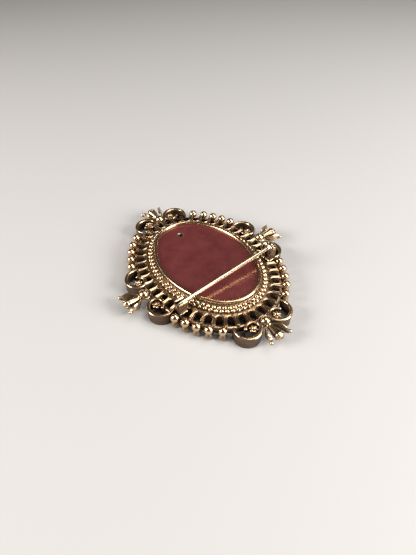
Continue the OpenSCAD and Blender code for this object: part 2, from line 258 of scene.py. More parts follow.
def begin_circle(name, radius, place, turn, sides=10):
    """Begin with a circle, the section of a sweep."""
    return begin(bpy.ops.mesh.primitive_circle_add, name, vertices=sides, radius=radius,
                 rotation=turn, location=place)


def done(obj):
    """Leave edit mode."""
    bpy.ops.object.mode_set(mode="OBJECT")
    return obj


def pick(obj, kind, test):
    """In edit mode, select the VERT, EDGE or FACE elements whose middle passes the test."""
    bpy.ops.mesh.select_mode(type=kind)
    bpy.ops.mesh.select_all(action="DESELECT")
    mesh = bmesh.from_edit_mesh(obj.data)
    for part in {"VERT": mesh.verts, "EDGE": mesh.edges, "FACE": mesh.faces}[kind]:
        corners = [part] if kind == "VERT" else part.verts
        middle = sum((corner.co for corner in corners), Vector()) / len(corners)
        if test(middle):
            part.select_set(True)
    mesh.select_flush_mode()
    bmesh.update_edit_mesh(obj.data)


def middle_of_picked(obj):
    """The middle of the selected vertices."""
    mesh = bmesh.from_edit_mesh(obj.data)
    picked = [v.co for v in mesh.verts if v.select]
    return sum(picked, Vector()) / len(picked)


def extrude(x, y, z):
    """Extrude what is selected."""
    bpy.ops.mesh.extrude_region_move(TRANSFORM_OT_translate={"value": (x, y, z)})


def resize(factors, centre=ORIGIN):
    """Scale what is selected about a centre."""
    bpy.ops.transform.resize(value=factors, center_override=centre)


def close_up(obj):
    """Weld what meets, fill the open ends, turn every face outwards, and leave edit mode."""
    bpy.ops.mesh.select_mode(type="VERT")
    bpy.ops.mesh.select_all(action="SELECT")
    bpy.ops.mesh.remove_doubles(threshold=WELD)
    bpy.ops.mesh.fill_holes(sides=0)
    bpy.ops.mesh.normals_make_consistent(inside=False)
    return done(obj)


def apply_modifier(obj, kind, **settings):
    """Add a modifier with its settings, and apply it."""
    hold(obj)
    modifier = obj.modifiers.new(kind.lower(), kind)
    for key, value in settings.items():
        setattr(modifier, key, value)
    bpy.ops.object.modifier_apply(modifier=modifier.name)


def soften(obj, width, segments, angle):
    """Bevel the edges that turn by more than an angle in degrees."""
    apply_modifier(obj, "BEVEL", width=width, segments=segments, limit_method="ANGLE",
                   angle_limit=math.radians(angle))


def copy_to(model, place):
    """A copy with its own mesh, at a place given as a matrix."""
    twin = model.copy()
    twin.data = model.data.copy()
    bpy.context.scene.collection.objects.link(twin)
    twin.matrix_world = place
    return twin


def fuse(pieces, name):
    """Join pieces as one mesh at the origin, with its faces turned outwards."""
    bpy.ops.object.select_all(action="DESELECT")
    for piece in pieces:
        piece.select_set(True)
    bpy.context.view_layer.objects.active = pieces[0]
    if len(pieces) > 1:
        bpy.ops.object.join()
    obj = bpy.context.active_object
    obj.name = obj.data.name = name
    bpy.ops.object.transform_apply(location=True, rotation=True, scale=True)
    bpy.ops.object.mode_set(mode="EDIT")
    bpy.ops.mesh.select_all(action="SELECT")
    bpy.ops.mesh.normals_make_consistent(inside=False)
    return done(obj)


def seat(obj, place):
    """Move a piece to a place given as a matrix, for good."""
    obj.matrix_world = place
    return fuse([obj], obj.name)


def repeat(model, places, name):
    """A modelled piece at each place, as one mesh."""
    copies = [copy_to(model, place) for place in places]
    bpy.data.objects.remove(model)
    return fuse(copies, name)


def draw_outline(name, points, rounded=(), flat=False):
    """A closed outline in the XZ plane, or the XY plane if flat, drawn corner by corner.
    rounded holds (corner, radius, steps)."""
    corners = [Vector((x, y, 0)) if flat else Vector((x, 0, y)) for x, y in points]
    obj = begin(bpy.ops.mesh.primitive_plane_add, name, size=1, location=corners[0])
    bpy.ops.mesh.merge(type="CENTER")
    for here, there in zip(corners, corners[1:]):
        bpy.ops.mesh.extrude_vertices_move(TRANSFORM_OT_translate={"value": there - here})
    bpy.ops.mesh.select_all(action="SELECT")
    bpy.ops.mesh.edge_face_add()
    for corner, radius, steps in rounded:
        place = corners[corner]
        pick(obj, "VERT", lambda co: (co - place).length < WELD)
        bpy.ops.mesh.bevel(offset=radius, segments=steps, affect="VERTICES")
    bpy.ops.mesh.select_all(action="SELECT")
    bpy.ops.mesh.delete(type="ONLY_FACE")
    bpy.ops.mesh.select_all(action="SELECT")
    return obj


def spin(centre, turn, steps):
    """Sweep what is selected round a vertical axis, counter-clockwise for a positive turn."""
    axis = COUNTER if turn > 0 else UP
    bpy.ops.mesh.spin(steps=steps, angle=math.radians(abs(turn)), center=centre, axis=axis)


def sweep_arc(obj, centre, turn, steps, narrow, shallow=1.0):
    """Sweep the selected section round a centre.
    By its end it is narrower and shallower by the two factors."""
    width, depth = narrow ** (1 / steps), shallow ** (1 / steps)
    for _ in range(steps):
        spin(centre, turn / steps, 1)
        resize((width, width, depth), middle_of_picked(obj))


def sweep_round_the_oval(obj, side_steps=16, end_steps=20):
    """Sweep a section, drawn on +X, round the four arcs of the oval."""
    spin((-side_c, 0, 0), join_angle, side_steps)
    spin((0, end_c, 0), 180 - 2 * join_angle, end_steps)
    spin((side_c, 0, 0), 2 * join_angle, 2 * side_steps)
    spin((0, -end_c, 0), 180 - 2 * join_angle, end_steps)
    spin((-side_c, 0, 0), join_angle, side_steps)
    return close_up(obj)


def finish_piece(obj, body, slot, material, *nodes, smooth=40):
    """Make the piece metres, give it its finish, and seat it on its body."""
    hold(obj)
    obj.scale = (MM, MM, MM)
    bpy.ops.object.transform_apply(scale=True)
    bpy.ops.object.shade_smooth_by_angle(angle=math.radians(smooth))
    obj.data.materials.clear()
    obj.data.materials.append(material)
    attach(obj, body)
    if nodes:
        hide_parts(*nodes)
    return obj


# Pieces of the setting


def make_bezel():
    """The bezel: a band with a half-round rim behind, and a lip that holds the stone in front."""
    seat_z = plate_z + seat_gap
    lip_z = bezel_front_z + front_lip_t
    inner, outer = half_w + rim_w - band_wall, half_w + rim_w
    points = [(half_w, bezel_front_z), (outer, bezel_front_z), (outer, rim_z), (half_w, rim_z),
              (half_w, seat_z), (inner, seat_z), (inner, lip_z), (half_w, lip_z)]
    round_top = rim_w * 0.47
    rounded = [(0, lip_edge, 2), (1, lip_edge, 2), (2, round_top, 5), (3, round_top, 5)]
    return sweep_round_the_oval(draw_outline("bezel", points, rounded))


def make_grain_bed():
    """The sloping bed that the grains sit on."""
    low = gallery_z + seat_gap
    bed_t = grain_d * 0.3
    inner = half_w + collar_in
    outer = inner + grain_band_w - grain_d * 0.25
    points = [(inner, low), (outer, low), (outer, low + bed_t), (inner, low + grain_rise + bed_t)]
    return sweep_round_the_oval(draw_outline("grain_bed", points))


def make_grains():
    """Two rows of grains on the bed, the inner row higher, and half a step behind the outer one."""
    grain_r = grain_d / 2
    low = gallery_z + seat_gap
    rows = [(collar_in + grain_band_w - grain_r, low + grain_r * 0.6, 0.5),
            (collar_in + grain_r, low + grain_rise, 0)]
    model = done(begin_ball("grain", grain_r))
    per_quarter = grains_per_row // 4
    step = quarter_len / per_quarter
    places = [quarter @ along((i + shift) * step, o, z)
              for o, z, shift in rows for quarter in QUARTERS for i in range(per_quarter)]
    return repeat(model, places, "grains")


def window_places(z):
    """The place of each window, at its middle on the collar's edge, with +X outwards."""
    return [quarter @ along((i + 0.5) * pitch, collar_out, z)
            for quarter in QUARTERS for i in range(windows_per_quarter)]


def make_gallery():
    """The collar and the ladder of windows, swept round the oval and then pierced."""
    lap = 0.1
    web = collar_out - lap
    collar_under = gallery_z - collar_t
    rail_z = gallery_z - rail_drop
    points = [(collar_in, collar_under), (web, collar_under), (web, gallery_front_z),
              (rail_out, gallery_front_z), (rail_out, rail_z - lap), (window_out, rail_z),
              (collar_out + 4 * lap, rail_z + lap), (collar_out + lap, gallery_z),
              (collar_in, gallery_z)]
    points = [(half_w + o, z) for o, z in points]
    gallery = sweep_round_the_oval(draw_outline("gallery", points, [(4, 0.2, 3)]))
    cutter = begin_block("window", (window_l, window_w, 2 * gallery_z), (window_l / 2, 0, 0))
    pick(cutter, "EDGE", lambda co: co.x < WELD and abs(co.z) < WELD)
    bpy.ops.mesh.bevel(offset=window_w * 0.48, segments=5, affect="EDGES")
    windows = repeat(done(cutter), window_places(gallery_z), "windows")
    apply_modifier(gallery, "BOOLEAN", operation="DIFFERENCE", solver="EXACT", object=windows)
    bpy.data.objects.remove(windows)
    soften(gallery, gallery_edge, 2, 40)
    return gallery


def make_bars():
    """The raised bars between the windows: rounded on top, and a little lower outside."""
    length, depth = window_l + rail_w * 0.8, rail_drop + 0.3
    bar = begin_block("bar", (length, bar_w, depth), (length / 2, 0, gallery_z - depth / 2))
    pick(bar, "EDGE", lambda co: co.x > length - WELD and co.z > gallery_z - WELD)
    bpy.ops.transform.translate(value=(0, 0, -rail_drop * 0.2))
    pick(bar, "EDGE", lambda co: co.z > gallery_z - depth * 0.5 and abs(co.y) > bar_w / 2 - WELD)
    bpy.ops.mesh.bevel(offset=bar_w * 0.48, segments=5, affect="EDGES")
    done(bar)
    places = [quarter @ along(i * pitch, collar_out)
              for quarter in QUARTERS for i in range(1, windows_per_quarter)]
    places += [corner @ Matrix.Translation((collar_out - corner_o, 0, 0)) for corner in CORNERS]
    return repeat(bar, places, "bars")


def make_window_wires():
    """The raised wire round each window: two legs on the bars and an arch on the collar."""
    leg_out = window_l - 0.05
    leg = leg_out - window_w / 2
    start = (leg_out, window_w / 2 + window_wire_r, 0)
    wire = begin_circle("wire", window_wire_r, start, ALONG_X, 8)
    extrude(-leg, 0, 0)
    spin((window_w / 2, 0, 0), 180, 8)
    extrude(leg, 0, 0)
    return repeat(close_up(wire), window_places(gallery_z + window_wire_rise), "window_wires")


# Beads and scrolls


def make_side_bead():
    """A round bead, and a smaller one in front of it, turned as one piece with a neck between."""
    front_r = front_bead_d / 2
    top = begin_ball("side_bead", bead_d / 2, (0, 0, bead_z), 20, 12)
    pick(top, "FACE", lambda co: co.z < bead_z - bead_d * 0.4)
    bpy.ops.mesh.delete(type="FACE")
    done(top)
    low = begin_ball("front_bead", front_r, (0, 0, front_r), 20, 12)
    pick(low, "FACE", lambda co: co.z > front_r + front_bead_d * 0.36)
    bpy.ops.mesh.delete(type="FACE")
    done(low)
    bead = fuse([top, low], "side_bead")
    bpy.ops.object.mode_set(mode="EDIT")
    bpy.ops.mesh.select_all(action="DESELECT")
    bpy.ops.mesh.select_mode(type="EDGE")
    bpy.ops.mesh.select_non_manifold()
    bpy.ops.mesh.bridge_edge_loops()
    return close_up(bead)


def make_side_beads():
    """The rows of side beads, one in each quarter."""
    places = [quarter @ along(bead_row_mid + (i - (beads_per_side - 1) / 2) * pitch, bead_o)
              for quarter in QUARTERS for i in range(beads_per_side)]
    return repeat(make_side_bead(), places, "side_beads")


def curl_at():
    """The middle of the scroll's curl, which is the rosette's place too."""
    return (scroll_r - curl_r) * direction(scroll_front)


def make_strap():
    """The C-scroll's strap: a deep strip with a round roll along its top, narrower at its two ends.
    The roll is broader on its inner side."""
    wall, roll = strap_t * 0.38, strap_t * 0.62
    shoulder = strap_h - 2 * roll
    under, over = shoulder - 0.1, shoulder + 0.15
    inner, outer = scroll_r - roll - roll_lap, scroll_r + roll
    points = [(scroll_r - wall, 0), (scroll_r + wall, 0), (scroll_r + wall, under), (outer, over),
              (outer, strap_h), (inner, strap_h), (inner, over), (scroll_r - wall, under)]
    rounded = [(0, strap_edge, 2), (1, strap_edge, 2), (4, roll * 0.9, 5), (5, roll * 0.9, 5)]
    strap = draw_outline("strap", points, rounded)
    sweep_arc(strap, ORIGIN, -scroll_back, 18, narrow=0.6)
    pick(strap, "VERT", lambda co: abs(co.y) < WELD and co.x > 0)
    sweep_arc(strap, ORIGIN, scroll_front, 12, narrow=0.95)
    sweep_arc(strap, curl_at(), curl_sweep, 18, narrow=0.75)
    return close_up(strap)


def make_rosette():
    """A round middle in a ring of six round petals, on a short post."""
    petal_at = (rosette_d * 0.32, 0, -rosette_d * 0.1)
    petal = begin_ball("petal", rosette_d * 0.19, petal_at)
    resize((1.15, 0.9, 0.8), petal_at)
    petals = repeat(done(petal), [turned(60 * i) for i in range(6)], "petals")
    middle = done(begin_ball("middle", rosette_d * 0.25, segments=18, rings=10))
    post = begin_rod("post", rosette_d * 0.28, rosette_d * 0.6, (0, 0, -rosette_d * 0.35))
    bpy.ops.mesh.bevel(offset=scroll_edge, segments=2)
    return fuse([petals, middle, done(post)], "rosette")


def make_scroll():
    """A C-scroll with its rosette, its arm and the ball that ends its curl."""
    centre = curl_at()
    end = centre + curl_r * direction(scroll_front + curl_sweep)
    ball_r = strap_t * 0.75
    ball = done(begin_ball("curl_ball", ball_r, (end.x, end.y, strap_h - ball_r)))
    rosette = make_rosette()
    rosette.matrix_world = Matrix.Translation((centre.x, centre.y, strap_h - rosette_d * 0.2))
    arm = begin_block("arm", (curl_r, strap_t, strap_h / 3), (curl_r / 2, 0, strap_h * 2 / 3))
    bpy.ops.mesh.bevel(offset=scroll_edge, segments=2)
    done(arm)
    arm.matrix_world = Matrix.Translation(centre) @ turned(scroll_front)
    return fuse([make_strap(), ball, rosette, arm], "scroll")


def make_scrolls():
    """Two scrolls in each quarter: one beside the end's finial, one beside the side's."""
    places = []
    for quarter in QUARTERS:
        places.append(quarter @ along(*end_scroll))
        places.append(quarter @ along(*side_scroll) @ MIRROR_Y)
    return repeat(make_scroll(), places, "scrolls")


# Finials, modelled with +X outwards


def make_petal():
    """A side petal: a leaf that leaves the neck, cups round the bud, and flares to a drop."""
    cup_r, flare_r = petal_r * 2.2, petal_r * 0.67
    outer, inner = cup_r + 0.04, cup_r - 0.14
    tip_turn, flare_turn, neck_turn, lean = 29, 66, 37, 115
    half, thick = petal_h * 0.44, petal_t * 0.5
    # The leaf's section: shares of its half height and of its thickness, up its outer side with
    # three ribs, then down its inner side with two
    ribs = [(-1, 0), (-0.7, 0.8), (-0.4, 0.15), (0, 1), (0.4, 0.15), (0.7, 0.8), (1, 0)]
    hollows = [(1, 0), (0.62, -0.3), (0.38, 0.45), (0, -0.3), (-0.38, 0.45), (-0.62, -0.3), (-1, 0)]
    points = [(outer + thick * out, half * up) for up, out in ribs]
    points += [(inner + thick * out, half * up) for up, out in hollows]
    rounded = [(corner, petal_edge, 2) for corner in (1, 2, 3, 4, 5, 8, 9, 10, 11, 12)]
    petal = draw_outline("petal", points, rounded)
    sweep_arc(petal, ORIGIN, -tip_turn, 6, narrow=0.95, shallow=0.9)
    flare_at = (cup_r + flare_r) * direction(-tip_turn)
    sweep_arc(petal, flare_at, flare_turn, 10, narrow=1.05, shallow=0.55)
    pick(petal, "VERT", lambda co: abs(co.y) < WELD and co.x > 0)
    sweep_arc(petal, ORIGIN, neck_turn, 8, narrow=0.8, shallow=0.42)
    close_up(petal)
    tip = flare_at + flare_r * direction(180 - tip_turn + flare_turn)
    drop = done(begin_ball("drop", petal_t * 0.72, tip, 16, 10))
    cup_at = Vector((finial_l - petal_r * 1.15, -petal_r * 0.55, finial_z))
    return seat(fuse([petal, drop], "petal"), Matrix.Translation(cup_at) @ turned(lean))


def make_bud():
    """The bud: a ball in five curved petals that stand round it and lean over its tip."""
    centre = Vector((finial_l - bud_d * 0.55, 0, finial_z))
    core = done(begin_ball("bud", bud_d * 0.4, segments=20, rings=12))
    fold_r, wire_r, lean = bud_d * 0.33, bud_d * 0.085 * 0.6, bud_d * 0.21
    half_sweep = 80
    turn = math.radians(half_sweep)
    start = (fold_r * math.cos(turn), -fold_r * math.sin(turn), 0)
    fold = begin_circle("fold", wire_r, start, (math.radians(90), 0, -turn))
    sweep_arc(fold, ORIGIN, half_sweep, 8, narrow=1.8, shallow=1.8)
    sweep_arc(fold, ORIGIN, half_sweep, 8, narrow=0.55, shallow=0.55)
    close_up(fold)
    places = [turned(72 * i, "X") @ Matrix.Translation((0, 0, lean)) for i in range(5)]
    bud = fuse([core, repeat(fold, places, "folds")], "bud")
    bud.matrix_world = Matrix.Translation(centre) @ Matrix.Diagonal((1.1, 1.45, 1.35, 1))
    return bud


def make_arch():
    """The thin arch that runs round the inner side of a corner's bead and ends at the neck."""
    arch_r = corner_bead_d / 2 + arch_gap
    turn = math.radians(arch_start)
    start = (arch_r * math.cos(turn), arch_r * math.sin(turn), bead_z + 0.1)
    arch = begin_circle("arch", arch_wire_r, start, (math.radians(90), 0, turn))
    spin(ORIGIN, arch_sweep, 32)
    return close_up(arch)


def make_calyx():
    """The calyx: a round cup that widens from the neck towards the bud."""
    near, far = corner_bead_d / 2 + 0.2, finial_l - bud_d * 0.8
    calyx = begin(bpy.ops.mesh.primitive_cone_add, "calyx", vertices=18, radius1=neck_d * 0.42,
                  radius2=bud_d * 0.58, depth=far - near, rotation=ALONG_X,
                  location=((near + far) / 2, 0, finial_z))
    pick(calyx, "FACE", lambda co: co.x > far - WELD)
    bpy.ops.mesh.inset(thickness=calyx_wall)
    bpy.ops.transform.translate(value=(-calyx_depth, 0, 0))
    return done(calyx)


def make_finial():
    """A finial: bead, arch, neck with a ring, calyx, two side petals and a bud."""
    bead = done(begin_ball("corner_bead", corner_bead_d / 2, (0, 0, bead_z), 24, 14))
    neck_l = finial_l - bud_d / 2
    neck = done(begin_rod("neck", neck_d / 2 * 0.8, neck_l, (neck_l / 2, 0, finial_z), ALONG_X))
    ring = done(begin(bpy.ops.mesh.primitive_torus_add, "neck_ring", major_segments=20,
                      minor_segments=10, major_radius=neck_d / 2, minor_radius=neck_ring_t / 2,
                      rotation=ALONG_X, location=(corner_bead_d / 2 + 0.12, 0, finial_z)))
    petal = make_petal()
    other = copy_to(petal, MIRROR_Y)
    parts = [bead, make_arch(), neck, ring, make_calyx(), petal, other, make_bud()]
    return fuse(parts, "finial")


def make_finials():
    """A finial at each corner of the frame."""
    return repeat(make_finial(), CORNERS, "finials")


# The pin, its hinge and its catch. HINGE is the hinge's place, with the catch in the -X direction.
pin_joint = frame["record"]["behaviour"]["joints"][0]
pin_turn = math.atan2(-pin_joint["axis"][0], pin_joint["axis"][1])
rivet_z = pin_joint["pos_m"][2] / MM
hinge_at = Vector((pin_joint["pos_m"][0], pin_joint["pos_m"][1], 0)) / MM
catch_z = plate_z + catch_rise
catch_at = (node_box("catch_hook")[0] + node_box("catch_hook")[1]) / 2
catch_at.z = 0
pin_span = (hinge_at - catch_at).length
pin_slope = math.atan2(rivet_z - catch_z, pin_span)
HINGE = Matrix.Translation(hinge_at) @ Matrix.Rotation(pin_turn, 4, "Z")
CATCH = Matrix.Translation(catch_at) @ Matrix.Rotation(pin_turn, 4, "Z")
ear_y = eye_w / 2 + ear_play + ear_t / 2
foot_w = 2 * (ear_y + ear_t / 2 + foot_edge)
foot_under = max(gallery_z, strap_h) + rivet_seat
foot_z = foot_under + foot_t


def make_foot():
    """A foot's plate, with its edges rounded."""
    foot = begin_block("foot", (foot_l, foot_w, foot_t), (0, 0, foot_under + foot_t / 2))
    bpy.ops.mesh.bevel(offset=foot_t * 0.3, segments=3)
    return done(foot)


def make_ear(side):
    """An ear of the hinge: a round-topped plate that widens into the foot."""
    half = eye_d / 2
    base = foot_z - 0.05
    waist = base + ear_flare
    top = rivet_z + half
    points = [(-half - ear_flare, base), (half + ear_flare, base), (half, waist), (half, top),
              (-half, top), (-half, waist)]
    rounded = [(2, 0.2, 3), (3, half * 0.98, 9), (4, half * 0.98, 9), (5, 0.2, 3)]
    ear = draw_outline("ear", points, rounded)
    bpy.ops.mesh.edge_face_add()
    extrude(0, ear_t, 0)
    bpy.ops.mesh.select_all(action="SELECT")
    bpy.ops.transform.translate(value=(0, side * ear_y - ear_t / 2, 0))
    close_up(ear)
    soften(ear, fixing_edge, 3, 50)
    return ear


def make_hinge():
    """The hinge's bracket: two ears on a foot."""
    return seat(fuse([make_foot(), make_ear(-1), make_ear(1)], "hinge"), HINGE)


def make_rivet():
    """The rivet: a shank with a domed head at each end."""
    half = ear_y + ear_t / 2 + rivet_seat
    grow = (rivet_d + ear_t) / 2 / (rivet_d / 2)
    # Steps of the dome: share of the head's height, and what is kept of the width
    dome = ((0.35, 0.97), (0.3, 0.87), (0.2, 0.74), (0.1, 0.55))
    rivet = begin_rod("rivet", rivet_d / 2, 2 * half, (0, 0, rivet_z), ALONG_Y, 24)
    for side in (1, -1):
        pick(rivet, "FACE", lambda co: co.y * side > half - WELD)
        bpy.ops.mesh.inset(thickness=0.01)
        centre = (0, side * half, rivet_z)
        extrude(0, 0, 0)
        resize((grow, 1, grow), centre)
        for rise, keep in dome:
            extrude(0, side * rise * rivet_head_t, 0)
            resize((keep, 1, keep), centre)
    return seat(done(rivet), HINGE)


def make_catch():
    """The catch: a strip bent into a trough, on a web and a foot."""
    inner_r = pin_d / 2 + catch_gap
    strip_r = inner_r + catch_t / 2
    rise = math.radians(lip_angle)
    lip = (0, strip_r * math.cos(rise), catch_z + strip_r * math.sin(rise))
    trough = begin(bpy.ops.mesh.primitive_plane_add, "catch", size=1, rotation=(rise, 0, 0),
                   location=lip)
    resize((catch_l, 1, 1), lip)
    resize((1, catch_t, catch_t), lip)
    bpy.ops.mesh.delete(type="ONLY_FACE")
    bpy.ops.mesh.select_all(action="SELECT")
    bpy.ops.mesh.spin(steps=28, angle=math.radians(180 + 2 * lip_angle), center=(0, 0, catch_z),
                      axis=(1, 0, 0))
    close_up(trough)
    web_top = catch_z - inner_r - catch_t * 0.3
    web = begin_block("web", (catch_l * 0.96, 1.5 * strip_r, web_top - foot_z + 0.05),
                      (0, 0, (web_top + foot_z - 0.05) / 2))
    pick(web, "FACE", lambda co: co.z < foot_z)
    resize((1, 1.25, 1), (0, 0, foot_z))
    catch = fuse([trough, done(web)], "catch")
    soften(catch, fixing_edge, 3, 50)
    return seat(fuse([catch, make_foot()], "catch"), CATCH)


def make_pin():
    """The pin: a flat round eye, a shouldered wire, and a long point."""
    eye = begin_rod("pin", eye_d / 2, eye_w, turn=ALONG_Y, sides=40)
    flat_y = eye_w / 2 - WELD
    for side in (1, -1):
        pick(eye, "FACE", lambda co: co.y * side > flat_y)
        bpy.ops.mesh.inset(thickness=eye_d / 2 - rivet_d / 2 - 0.05)
    pick(eye, "FACE", lambda co: abs(co.y) > flat_y and Vector((co.x, 0, co.z)).length < 0.1)
    bpy.ops.mesh.bridge_edge_loops()
    done(eye)
    soften(eye, eye_edge, 4, 50)
    start = -eye_d * 0.42
    wire = begin_circle("stem", wire_d / 2 * 1.3, (start, 0, 0), ALONG_X, 20)
    shoulder = [(0.35, 1), (0.2, 0.9), (0.15, 0.85)]
    stem_l = pin_span / math.cos(pin_slope) + point_past - point_l
    stem = [(stem_l - 0.7 + start, 1)]
    point = [(0.3, 0.88), (0.3, 0.78), (0.25, 0.62), (0.1, 0.55), (0.05, 0.4)]
    for length, keep in shoulder + stem + [(point_l * share, keep) for share, keep in point]:
        extrude(-length, 0, 0)
        resize((1, keep, keep))
    close_up(wire)
    slope = Matrix.Rotation(-pin_slope, 4, "Y")
    return seat(fuse([eye, wire], "pin"), HINGE @ Matrix.Translation((0, 0, rivet_z)) @ slope)


# The bust in relief on the stone, which faces down here. Sizes are shares of the face's height,
# and each point is (forwards, upwards) from the foot of the chin.
relief_h = 0.75
relief_base = 0.35
bust_margin = 4.9
carving_voxel = 0.06
outline_voxel = 0.1
bust_voxel = 0.07
bust_l = 2 * half_l - 2 * bust_margin
face_h = bust_l / 3
chin_y = bust_l * 0.02
head_x = bust_l * 0.12
HEAD = [(-0.02, 1), (0.06, 0.9), (0.085, 0.76), (0.05, 0.69), (0.1, 0.58), (0.185, 0.45),
        (0.185, 0.41), (0.09, 0.375), (0.09, 0.335), (0.125, 0.295), (0.09, 0.262),
        (0.11, 0.225), (0.065, 0.175), (0.09, 0.1), (0.06, 0.02), (-0.04, -0.01),
        (-0.2, 0.03), (-0.26, -0.1), (-0.27, -0.42), (-0.75, -0.42), (-0.66, -0.1),
        (-0.7, 0.4), (-0.6, 1.1)]
BUST = [(-0.26, -0.3), (-0.12, -0.52), (0.1, -0.72), (0.22, -0.98), (0.16, -1.22), (-0.1, -1.42),
        (-0.5, -1.5), (-0.9, -1.36), (-1.12, -1.08), (-1.14, -0.8), (-1, -0.6), (-0.76, -0.46),
        (-0.7, -0.3)]
# Rounded forms: forwards, upwards, radius forwards, radius upwards, turn in degrees, height
FORMS = [
    (-0.12, 0.36, 0.22, 0.4, 0, 0.56), (-0.18, 0.14, 0.22, 0.15, 0, 0.5),
    (-0.06, 0.78, 0.15, 0.2, 0, 0.5), (0.03, 0.645, 0.07, 0.03, -10, 0.56),
    (-0.01, 0.56, 0.05, 0.03, 0, 0.62), (-0.02, 0.595, 0.07, 0.012, 8, 0.66),
    (0.1, 0.48, 0.045, 0.14, 28, 0.5), (0.11, 0.405, 0.05, 0.03, 0, 0.58),
    (0.07, 0.3, 0.055, 0.02, -8, 0.55), (0.065, 0.25, 0.045, 0.024, 8, 0.54),
    (0.02, 0.1, 0.08, 0.075, 0, 0.5), (-0.36, 0.42, 0.06, 0.11, -12, 0.68),
    (-0.48, -0.14, 0.2, 0.42, -6, 0.48), (-0.55, -0.85, 0.55, 0.5, 0, 0.52),
    (-0.02, -0.95, 0.22, 0.26, 0, 0.6),
]
# Locks of hair: forwards, upwards, radius
LOCKS = [(-0.42, 0.86, 0.5), (-0.12, 1.08, 0.2), (-0.62, 0.56, 0.34), (-1.02, 0.66, 0.26),
         (-0.86, 0.34, 0.16), (-0.78, 0.1, 0.12), (-0.04, 0.98, 0.1)]
# Folds of the drape and waves of the hair: forwards and upwards of the middle, radius,
# thickness, height
FOLDS = [(-0.5, -0.3, 0.78, 0.06, 0.66), (-0.5, -0.22, 0.98, 0.07, 0.72),
         (-0.5, -0.12, 1.18, 0.07, 0.74), (-0.5, -0.06, 1.36, 0.05, 0.7)]
WAVES = [(-0.44, 0.62, 0.62, 0.05, 0.7), (-0.44, 0.64, 0.5, 0.05, 0.74),
         (-0.44, 0.66, 0.38, 0.05, 0.74), (-0.44, 0.68, 0.26, 0.05, 0.72)]
CURLS = [(x, y, r * share, r * 0.16, 0.75) for x, y, r in LOCKS[3:] for share in (0.78, 0.36)]


def on_stone(forwards, upwards, height=0):
    """A point of the bust, in millimetres."""
    return Vector((-face_h * forwards - head_x, face_h * upwards + chin_y, height))


def raise_outline(points, height):
    """An outline raised from the stone."""
    slab = draw_outline("slab", [on_stone(*point)[:2] for point in points], flat=True)
    bpy.ops.mesh.edge_face_add()
    extrude(0, 0, height)
    return close_up(slab)


def raise_form(forwards, upwards, wide, tall, turn, height):
    """A rounded form: a ball pressed flat, turned about its middle."""
    form = begin_ball("form", 1, segments=32, rings=16)
    resize((wide * face_h, tall * face_h, height))
    done(form)
    form.matrix_world = Matrix.Translation(on_stone(forwards, upwards)) @ turned(turn)
    return form


def raise_fold(forwards, upwards, radius, thick, height):
    """A fold or a wave: a ring pressed flat, of which the outline keeps a stretch."""
    fold = begin(bpy.ops.mesh.primitive_torus_add, "fold", major_segments=72, minor_segments=12,
                 major_radius=radius * face_h, minor_radius=thick * face_h)
    resize((1, 1, height / (thick * face_h)))
    done(fold)
    fold.matrix_world = Matrix.Translation(on_stone(forwards, upwards))
    return fold


def keep_within(obj, outlines):
    """Cut a piece back to what lies over the outlines."""
    apply_modifier(obj, "REMESH", mode="VOXEL", voxel_size=carving_voxel)
    apply_modifier(outlines, "REMESH", mode="VOXEL", voxel_size=outline_voxel)
    apply_modifier(obj, "BOOLEAN", operation="INTERSECT", solver="EXACT", object=outlines)
    bpy.data.objects.remove(outlines)
    return obj


def raise_outlines(height):
    """The outlines of the head and of the bust, raised from the stone."""
    return [raise_outline(HEAD, height), raise_outline(BUST, height)]


def make_bust():
    """The bust: face and neck, hair over them, and a draped shoulder, softened as one carving."""
    forms = [raise_form(*row) for row in FORMS]
    skin = fuse(forms + raise_outlines(relief_h * relief_base), "skin")
    skin = keep_within(skin, fuse(raise_outlines(relief_h), "outlines"))
    locks = [raise_form(x, y, r, r, 0, 0.62) for x, y, r in LOCKS]
    hair = fuse(locks + [raise_fold(*row) for row in WAVES + CURLS], "hair")
    locks = [raise_form(x, y, r, r, 0, 3) for x, y, r in LOCKS]
    hair = keep_within(hair, fuse(locks, "outlines"))
    drape = fuse([raise_fold(*row) for row in FOLDS], "drape")
    drape = keep_within(drape, raise_outline(BUST[2:11], relief_h))
    bust = fuse([skin, hair, drape], "bust")
    apply_modifier(bust, "REMESH", mode="VOXEL", voxel_size=bust_voxel)
    apply_modifier(bust, "SMOOTH", factor=0.5, iterations=3)
    hold(bust)
    bpy.ops.object.mode_set(mode="EDIT")
    bpy.ops.mesh.select_all(action="SELECT")
    bpy.ops.mesh.bisect(plane_co=(0, 0, 0.01), plane_no=UP, use_fill=True, clear_inner=True)
    done(bust)
    stone_z = bezel_front_z + 0.1 - seat_gap
    return seat(bust, Matrix.Translation((0, 0, stone_z)) @ Matrix.Diagonal((1, 1, -1, 1)))


# Finishes


